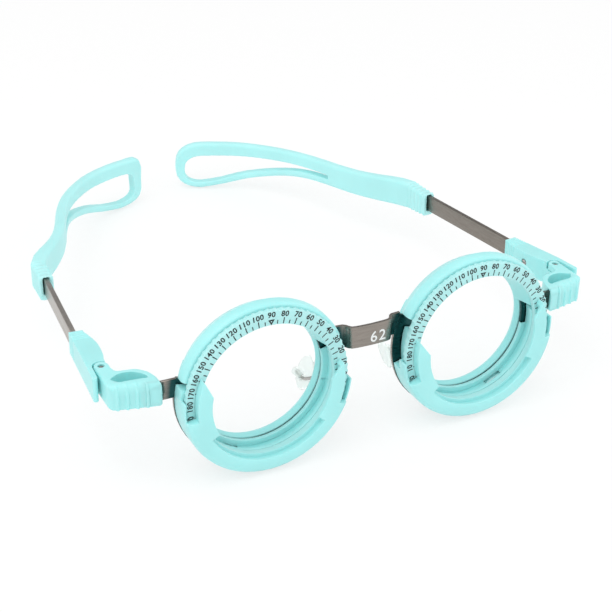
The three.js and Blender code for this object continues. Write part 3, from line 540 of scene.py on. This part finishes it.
class TRIALFRAME_OT_moulded_parts(bpy.types.Operator):
    """Rounds and finishes the moulded rings, holders, end blocks and temple sleeves"""

    bl_idname = "trialframe.moulded_parts"
    bl_label = "Moulded Parts"

    def execute(self, context):
        """Makes each moulded piece from its CAD node."""
        plastic = moulded_plastic(
            "Moulded aqua ABS", colours().plastic, roughness=0.34, grain_mm=0.5, bump=0.25, depth_mm=1.2
        )
        for side, sign in SIDES.items():
            for node in ("rear_ring", "lens_holder"):
                rounded_piece(
                    f"{node}_{side}", f"{node}_moulded_{side}", plastic,
                    sizes().edge_round, flatten=False,
                )
            for node, passes in SOFT_EDGED:
                self.add_soft_edged(f"{node}_{side}", f"{node}_moulded_{side}", plastic, passes)
            self.add_lips(side, sign, plastic)
            self.add_plug(side, sign, plastic)
        return {"FINISHED"}

    def add_soft_edged(self, node, name, plastic, passes):
        """A small moulding whose every edge is drawn round, as its mould was."""
        obj = merged_copy(node, name)
        apply_modifier(obj, "REMESH", mode="VOXEL", voxel_size=sizes().block_voxel, use_smooth_shade=True)
        apply_modifier(obj, "SMOOTH", factor=0.5, iterations=passes)
        place_on(obj, plastic, node)

    def add_lips(self, side, sign, plastic):
        """The thin lip behind the rear lens slot, and the collar that joins holder and hood at the nose."""
        centre = Matrix.Translation((sign * LENS_SPACING / 2, 0, 0))
        place = LENS_FRAME @ centre @ Matrix.Diagonal((sign, 1, 1, 1))
        for name, outline, start, turn in LIPS:
            piece = outline_face(f"{name}_{side}", [(radius, depth, 0) for radius, depth in outline])
            piece.data.transform(Matrix.Rotation(math.radians(-start), 4, "Y"))
            with edit_mode(piece):
                bpy.ops.mesh.spin(
                    steps=turn // ARC_STEP, angle=math.radians(turn), center=(0, 0, 0), axis=(0, 1, 0)
                )
            self.finish_added(piece, place, sizes().thin_round, plastic)

    def add_plug(self, side, sign, plastic):
        """Closes the end block's front where the slot for the plate's tab comes through, with its ridge."""
        pin = LENS_FRAME.inverted() @ Vector(joint(f"temple_fold_{side}")["pos_m"])
        place = LENS_FRAME @ Matrix.Translation((pin.x, pin.y, 0)) @ Matrix.Diagonal((sign, 1, 1, 1))
        for name, outline, start, length, rounding in FRONT_MENDS:
            shift = FACE_SLOPE * (start - INBOARD_FACE) - MEND_PROUD
            piece = outline_face(f"{name}_{side}", [(start, depth + shift, up) for depth, up in outline])
            move = (length * MM, FACE_SLOPE * length * MM, 0)
            with edit_mode(piece):
                bpy.ops.mesh.extrude_region_move(TRANSFORM_OT_translate={"value": move})
            self.finish_added(piece, place, rounding, plastic)

    def finish_added(self, piece, place, width, plastic):
        """Puts an added moulding in its place on the front, with its faces outwards and its edges rounded."""
        piece.data.transform(place)
        with edit_mode(piece):
            bpy.ops.mesh.normals_make_consistent(inside=False)
        round_edges(piece, width, SMOOTH_ANGLE)
        piece.data.materials.append(plastic)
        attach(piece, "front")


class TRIALFRAME_OT_steel_parts(bpy.types.Operator):
    """Rounds and finishes the stamped plate, the temple strips and the small steel parts"""

    bl_idname = "trialframe.steel_parts"
    bl_label = "Steel Parts"

    def execute(self, context):
        """Makes each steel piece from its CAD node."""
        rolled = drawn_steel(
            "Rolled spring steel, across", colours().steel, 0.27, ALONG_X, shaded=colours().shaded
        )
        # One steel for both strips, with painted light on the right one and painted shade on the left one
        strips = {
            "right": drawn_steel("Rolled spring steel, painted light", colours().strip_right, 0.3, ALONG_Y),
            "left": drawn_steel("Rolled spring steel, painted shade", colours().strip_left, 0.3, ALONG_Y),
        }
        # Pale teal on the leaf springs is painted reflection of the aqua slot around them
        leaf = drawn_steel("Rolled leaf spring steel", colours().spring, 0.35, ALONG_X)
        bright = drawn_steel("Bright drawn steel", colours().bright, 0.2, ALONG_Z)
        width = sizes().steel_round
        plate = rounded_piece(
            "metal_front", "metal_front_stamped", rolled, width, flatten=False
        )
        for sign in SIDES.values():
            self.trim_tab(plate, sign)
        for side in SIDES:
            rounded_piece(
                f"temple_strip_{side}", f"temple_strip_rolled_{side}", strips[side], width
            )
            rounded_piece(
                f"lens_spring_{side}", f"lens_spring_rolled_{side}", leaf, width / 2
            )
            for node in ("hinge_pin", "sleeve_screw", "pad_arm"):
                rounded_piece(f"{node}_{side}", f"{node}_bright_{side}", bright, width / 2)
        return {"FINISHED"}

    def trim_tab(self, plate, sign):
        """Ends the plate's tab just inside its end block, where the plastic hides it."""
        outwards = LENS_FRAME.to_3x3() @ Vector((sign, 0, 0))
        end = LENS_FRAME @ Vector((sign * TAB_END, 0, 0))
        with edit_mode(plate):
            bpy.ops.mesh.bisect(plane_co=end, plane_no=outwards, use_fill=True, clear_outer=True)


# Height of a digit as a share of its font size
DIGIT_SHARE = 0.69
# An open triangle's corner radius, its distance out from the lines' inner end, and its line as a share
TRIANGLE_SIZE = 1.0 * MM
TRIANGLE_SHIFT = 0.8 * MM
TRIANGLE_LINE_SHARE = 0.34
# Degrees between two lines of the scale, between two numbers and between two triangles, and where it restarts
LINE_STEP = 5
NUMBER_STEP = 10
TRIANGLE_STEP = 90
SCALE_END = 180
# How far each dial is turned in the photograph, in degrees
DIAL_TURNS = {"right": -1.3, "left": 0.9}
# How far in front of the dial's face its print is centred, as a share of the print's height
PRINT_LIFT_SHARE = 0.6
# Middle of the bridge's number in the lens frame, in front of the bow that it is projected on
BRIDGE_NUMBER_PLACE = (1.95 * MM, -12 * MM, 5.05 * MM)


def number_mesh(text, height, material, spacing=1.06, weight=0.035):
    """A number as a flat mesh about its own middle, drawn in X and Y."""
    bpy.ops.object.text_add(location=(0, 0, 0))
    obj = bpy.context.object
    obj.data.body = text
    obj.data.size = height / DIGIT_SHARE
    obj.data.align_x = "CENTER"
    obj.data.align_y = "CENTER"
    obj.data.space_character = spacing
    obj.data.offset = height * weight
    obj.data.resolution_u = 3
    only(obj)
    bpy.ops.object.convert(target="MESH")
    obj.data.materials.clear()
    obj.data.materials.append(material)
    return obj


def flat_bar(width, length, material):
    """A thin printed line along Y from the origin, drawn in X and Y."""
    bpy.ops.mesh.primitive_plane_add(size=1, location=(0, 0, 0))
    obj = bpy.context.object
    obj.data.transform(Matrix.Diagonal((width, length, 1, 1)) @ Matrix.Translation((0, 0.5, 0)))
    obj.data.materials.append(material)
    return obj


def print_mark(obj, turn, radius, face):
    """Moves a mark drawn in X and Y to its angle and radius on a dial face."""
    upright = Matrix.Rotation(math.pi / 2, 4, "X")
    at_radius = Matrix.Translation((0, radius, 0))
    around = Matrix.Rotation(turn - math.pi / 2, 4, "Z")
    obj.data.transform(face @ upright @ around @ at_radius)


def triangle_mark(material):
    """A small open triangle that points to the bore, in place of a line."""
    bpy.ops.mesh.primitive_circle_add(
        vertices=3, radius=TRIANGLE_SIZE, fill_type="NGON", location=(0, 0, 0)
    )
    obj = bpy.context.object
    obj.data.transform(Matrix.Rotation(math.pi, 4, "Z"))
    with edit_mode(obj):
        bpy.ops.mesh.inset(thickness=TRIANGLE_SIZE * TRIANGLE_LINE_SHARE)
        bpy.ops.mesh.delete(type="FACE")
    obj.data.materials.append(material)
    return obj


class TRIALFRAME_OT_dials(bpy.types.Operator):
    """Finishes the two scale dials and prints their lines and numbers"""

    bl_idname = "trialframe.dials"
    bl_label = "Scale Dials"

    def execute(self, context):
        """Makes each dial and its print."""
        plastic = moulded_plastic(
            "Moulded dial ABS", colours().dial, roughness=0.4, grain_mm=0.4, bump=0.2, depth_mm=0.8
        )
        ink = pad_ink("Black pad print ink", colours().ink)
        lift = -sizes().print_height * PRINT_LIFT_SHARE
        for side, sign in SIDES.items():
            rounded_piece(
                f"scale_dial_{side}", f"scale_dial_moulded_{side}", plastic,
                sizes().thin_round, angle=40,
            )
            face = LENS_FRAME @ Matrix.Translation((sign * LENS_SPACING / 2, lift, 0))
            self.print_scale(side, face, math.radians(DIAL_TURNS[side]), ink)
        return {"FINISHED"}

    def print_scale(self, side, face, turned, ink):
        """Prints lines, triangles and numbers round a dial, as one mesh."""
        marks = []
        for degrees in range(0, 360, LINE_STEP):
            angle = turned + math.radians(degrees)
            numbered = degrees % NUMBER_STEP == 0
            if degrees % TRIANGLE_STEP == 0:
                mark = triangle_mark(ink)
                print_mark(mark, angle, sizes().tick_inner + TRIANGLE_SHIFT, face)
            else:
                length = sizes().tick_long if numbered else sizes().tick_short
                mark = flat_bar(sizes().tick_width, length, ink)
                print_mark(mark, angle, sizes().tick_inner, face)
            marks.append(mark)
            if numbered:
                value = degrees % SCALE_END or degrees
                digits = number_mesh(str(value), sizes().digit_height, ink)
                print_mark(digits, angle, sizes().number_radius, face)
                marks.append(digits)
        only(*marks)
        bpy.ops.object.join()
        scale = bpy.context.object
        scale.name = f"dial_print_{side}"
        with edit_mode(scale):
            bpy.ops.mesh.remove_doubles(threshold=PRINT_MERGE_DISTANCE)
        apply_modifier(scale, "SOLIDIFY", thickness=sizes().print_height, offset=0)
        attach(scale, f"dial_{side}")


class TRIALFRAME_OT_bridge_number(bpy.types.Operator):
    """Prints the pupil distance on the bridge"""

    bl_idname = "trialframe.bridge_number"
    bl_label = "Bridge Number"

    def execute(self, context):
        """Lays the number on the bowed front of the bridge."""
        ink = pad_ink("White pad print ink", colours().white_ink)
        number = f"{LENS_SPACING / MM:.0f}"
        digits = number_mesh(number, sizes().bridge_digit, ink, spacing=1.16, weight=0.012)
        digits.name = "bridge_number"
        upright = Matrix.Rotation(math.pi / 2, 4, "X")
        digits.data.transform(LENS_FRAME @ Matrix.Translation(BRIDGE_NUMBER_PLACE) @ upright)
        with edit_mode(digits):
            bpy.ops.mesh.remove_doubles(threshold=PRINT_MERGE_DISTANCE)
            bpy.ops.mesh.subdivide(number_cuts=3)
        strip = merged_copy("metal_front", "strip_guide")
        apply_modifier(
            digits, "SHRINKWRAP", target=strip, wrap_method="PROJECT", use_negative_direction=False,
            use_positive_direction=True, use_project_y=True, offset=sizes().print_height / 2,
        )
        bpy.data.objects.remove(strip)
        apply_modifier(digits, "SOLIDIFY", thickness=sizes().print_height, offset=0)
        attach(digits, "front")
        return {"FINISHED"}


# Which way each soft corner of an ear loop's end points, and how far it is drawn out
LOOP_CORNERS = {
    "right": ((Vector((0.61, 0.35, 0.71)), 2.4 * MM), (Vector((0.69, 0.40, -0.60)), 1.2 * MM)),
    "left": (),
}
# How much of the loop is gripped at a corner, and how far round it the soft rubber follows
CORNER_GRIP = 1.2 * MM
CORNER_REACH = 7 * MM


class TRIALFRAME_OT_ear_loops(bpy.types.Operator):
    """Makes the soft silicone ear loops"""

    bl_idname = "trialframe.ear_loops"
    bl_label = "Ear Loops"

    def execute(self, context):
        """Rounds each loop into soft, even rubber."""
        silicone = moulded_plastic(
            "Cast aqua silicone", colours().silicone, roughness=0.42, grain_mm=0.8, bump=0.3, depth_mm=1.5
        )
        for side in SIDES:
            node = f"ear_loop_{side}"
            loop = merged_copy(node, f"ear_loop_silicone_{side}")
            for towards, distance in LOOP_CORNERS[side]:
                self.pull_corner(loop, towards, distance)
            apply_modifier(loop, "DISPLACE", strength=sizes().loop_swell, mid_level=0)
            apply_modifier(
                loop, "REMESH", mode="VOXEL", voxel_size=sizes().loop_voxel, use_smooth_shade=True
            )
            apply_modifier(loop, "SMOOTH", factor=0.5, iterations=3)
            place_on(loop, silicone, node)
        return {"FINISHED"}

    def pull_corner(self, loop, towards, distance):
        """Pulls the loop's soft far end out to a corner, as the right one is bent."""
        corner = max((vertex.co.copy() for vertex in loop.data.vertices), key=towards.dot)
        with edit_mode(loop, "DESELECT"):
            bpy.ops.mesh.select_mode(type="VERT")
        for vertex in loop.data.vertices:
            vertex.select = (vertex.co - corner).length < CORNER_GRIP
        with edit_mode(loop, None):
            bpy.ops.transform.translate(
                value=towards * distance, use_proportional_edit=True, proportional_edit_falloff="SMOOTH",
                proportional_size=CORNER_REACH,
            )


class TRIALFRAME_OT_nose_pads(bpy.types.Operator):
    """Makes the clear soft nose pads"""

    bl_idname = "trialframe.nose_pads"
    bl_label = "Nose Pads"

    def execute(self, context):
        """Rounds each pad into a soft clear cushion."""
        silicone = clear_silicone("Clear cast silicone", colours().pad)
        for side in SIDES:
            node = f"nose_pad_{side}"
            pad = merged_copy(node, f"nose_pad_silicone_{side}")
            apply_modifier(pad, "REMESH", mode="VOXEL", voxel_size=sizes().pad_voxel, use_smooth_shade=True)
            apply_modifier(pad, "SMOOTH", factor=0.5, iterations=6)
            place_on(pad, silicone, node)
        return {"FINISHED"}


# Stage

# Camera place, in millimetres, and axes in the lens frame, found from both dials in the photograph
CAMERA_PLACE = (-157.93, -264.236, 183.415)
CAMERA_RIGHT = (0.89335, -0.44883, 0.02192)
CAMERA_DOWN = (-0.19725, -0.43550, -0.87831)
CAMERA_FORWARD = (0.40375, 0.78031, -0.47759)
PICTURE_PX = 612
SENSOR_WIDTH = 36
CLIP_START = 0.01
# Sizes and places of the floor, just under the frame, and of the grey card behind it, in metres
FLOOR_SIZE = 6
FLOOR_HEIGHT = -0.0002
FLOOR_GRAIN_SIZE = 10 * MM / 3
CARD_SIZE = 2
CARD_PLACE = (0.5, 1.4, 0.95)
CARD_NAP_SIZE = 2 * MM
# Place and size of each lamp in metres, and its share of the key light's power
LAMPS = {"key": ((-0.35, -0.2, 0.7), 0.7, 1.0), "fill": ((0.6, -0.3, 0.4), 0.6, 0.35)}


def seen_directly(tree):
    """A socket that is 1 for what is seen, also in reflections and through clear pieces, and 0 for light."""
    path = add_node(tree, "ShaderNodeLightPath")
    seen = add_node(
        tree, "ShaderNodeMath", {"operation": "MAXIMUM"},
        {0: path.outputs["Is Camera Ray"], 1: path.outputs["Is Glossy Ray"]},
    )
    through = add_node(
        tree, "ShaderNodeMath", {"operation": "MAXIMUM"},
        {0: seen.outputs[0], 1: path.outputs["Is Transmission Ray"]},
    )
    return through.outputs[0]


class TRIALFRAME_OT_stage(bpy.types.Operator):
    """Adds the floor, the lights and the camera"""

    bl_idname = "trialframe.stage"
    bl_label = "Stage"

    def execute(self, context):
        """Makes the plain pale stage and looks at the frame as the photograph does."""
        scene = context.scene
        scene.view_settings.view_transform = "Standard"
        self.add_world(scene)
        self.add_floor()
        self.add_grey_card()
        self.add_lamps()
        self.add_camera(scene)
        return {"FINISHED"}

    def add_world(self, scene):
        """Even light from all round."""
        world = bpy.data.worlds.new("Soft studio")
        scene.world = world
        world.use_nodes = True
        tree = world.node_tree
        tree.nodes.clear()
        strength = add_node(
            tree, "ShaderNodeMapRange", {"To Min": staging().world_light, "To Max": 1.0},
            {"Value": seen_directly(tree)},
        )
        sky = add_node(
            tree, "ShaderNodeBackground", {"Color": (1, 1, 1, 1)}, {"Strength": strength.outputs["Result"]}
        )
        add_node(tree, "ShaderNodeOutputWorld", links={"Surface": sky.outputs[0]})

    def add_floor(self):
        """A wide white floor that keeps a faint shadow."""
        bpy.ops.mesh.primitive_plane_add(size=FLOOR_SIZE, location=(0, 0, FLOOR_HEIGHT))
        floor = bpy.context.object
        floor.name = "studio_floor"
        material, tree = new_material("Matt white floor")
        place = add_node(tree, "ShaderNodeTexCoord").outputs["Object"]
        grain = add_node(tree, "ShaderNodeTexNoise", {"Scale": 1 / FLOOR_GRAIN_SIZE}, {"Vector": place})
        tone = add_node(
            tree, "ShaderNodeMapRange", {"To Min": 0.93, "To Max": 0.97}, {"Value": grain.outputs["Fac"]}
        )
        paint = add_node(tree, "ShaderNodeBsdfDiffuse", links={"Color": tone.outputs["Result"]})
        white = add_node(tree, "ShaderNodeEmission", {"Color": (1, 1, 1, 1), "Strength": 1.0})
        share = add_node(
            tree, "ShaderNodeMath", {"operation": "MULTIPLY", 1: 1 - staging().floor_shadow},
            {0: seen_directly(tree)},
        )
        mix = add_node(
            tree, "ShaderNodeMixShader", links={0: share.outputs[0], 1: paint.outputs[0], 2: white.outputs[0]}
        )
        finish_material(material, tree, mix)
        floor.data.materials.append(material)

    def add_grey_card(self):
        """A grey card behind the frame, seen only in reflections, where it gives the steel its contrast."""
        bpy.ops.mesh.primitive_plane_add(size=CARD_SIZE, location=CARD_PLACE, rotation=(math.pi / 2, 0, 0))
        card = bpy.context.object
        card.name = "grey_card"
        material, tree = new_material("Matt grey card")
        place = add_node(tree, "ShaderNodeTexCoord").outputs["Object"]
        nap = add_node(tree, "ShaderNodeTexNoise", {"Scale": 1 / CARD_NAP_SIZE}, {"Vector": place})
        tone = add_node(
            tree, "ShaderNodeMapRange", {"To Min": 0.47, "To Max": 0.53}, {"Value": nap.outputs["Fac"]}
        )
        paint = add_node(tree, "ShaderNodeBsdfDiffuse", links={"Color": tone.outputs["Result"]})
        finish_material(material, tree, paint)
        card.data.materials.append(material)
        card.visible_camera = False
        card.visible_diffuse = False
        card.visible_transmission = False
        card.visible_shadow = False

    def add_lamps(self):
        """A broad lamp above and to the left, and a weak one from the right."""
        for name, (place, size, share) in LAMPS.items():
            bpy.ops.object.light_add(type="AREA", location=place)
            lamp = bpy.context.object
            lamp.name = f"{name}_lamp"
            lamp.data.size = size
            lamp.data.energy = staging().key_light * share
            lamp.rotation_euler = (-Vector(place)).to_track_quat("-Z", "Y").to_euler()

    def add_camera(self, scene):
        """The camera of the photograph, held in the lens frame."""
        bpy.ops.object.camera_add()
        camera = bpy.context.object
        camera.name = "photo_camera"
        right, down, forward = (Vector(v) for v in (CAMERA_RIGHT, CAMERA_DOWN, CAMERA_FORWARD))
        axes = Matrix((right, -down, -forward)).transposed().to_4x4()
        camera.matrix_world = LENS_FRAME @ Matrix.Translation(Vector(CAMERA_PLACE) * MM) @ axes
        camera.data.sensor_width = SENSOR_WIDTH
        camera.data.lens = SENSOR_WIDTH * staging().focal_px / PICTURE_PX
        camera.data.clip_start = CLIP_START
        scene.camera = camera


class TRIALFRAME_PT_panel(bpy.types.Panel):
    """Buttons that build the trial frame"""

    bl_label = "Trial Frame"
    bl_idname = "TRIALFRAME_PT_panel"
    bl_space_type = "VIEW_3D"
    bl_region_type = "UI"
    bl_category = "Trial Frame"

    def draw(self, context):
        """Lists the operators and the settings."""
        for operator in OPERATORS:
            self.layout.operator(operator.bl_idname)
        for group in (sizes(), colours(), staging()):
            box = self.layout.box()
            for name in group.__annotations__:
                box.prop(group, name)


OPERATORS = (
    TRIALFRAME_OT_stage,
    TRIALFRAME_OT_moulded_parts,
    TRIALFRAME_OT_steel_parts,
    TRIALFRAME_OT_dials,
    TRIALFRAME_OT_bridge_number,
    TRIALFRAME_OT_ear_loops,
    TRIALFRAME_OT_nose_pads,
)
CLASSES = (TrialFrameSizes, TrialFrameColours, TrialFrameStage, *OPERATORS, TRIALFRAME_PT_panel)


def register():
    """Registers the classes and their settings."""
    for cls in CLASSES:
        bpy.utils.register_class(cls)
    bpy.types.Scene.trial_frame_sizes = PointerProperty(type=TrialFrameSizes)
    bpy.types.Scene.trial_frame_colours = PointerProperty(type=TrialFrameColours)
    bpy.types.Scene.trial_frame_stage = PointerProperty(type=TrialFrameStage)


def unregister():
    """Removes the settings and the classes."""
    del bpy.types.Scene.trial_frame_stage
    del bpy.types.Scene.trial_frame_colours
    del bpy.types.Scene.trial_frame_sizes
    for cls in reversed(CLASSES):
        bpy.utils.unregister_class(cls)


def main():
    """Builds every piece and the stage."""
    register()
    bpy.ops.trialframe.stage()
    bpy.ops.trialframe.moulded_parts()
    bpy.ops.trialframe.steel_parts()
    bpy.ops.trialframe.dials()
    bpy.ops.trialframe.bridge_number()
    bpy.ops.trialframe.ear_loops()
    bpy.ops.trialframe.nose_pads()
    bpy.context.view_layer.update()


if __name__ == "__main__":
    main()
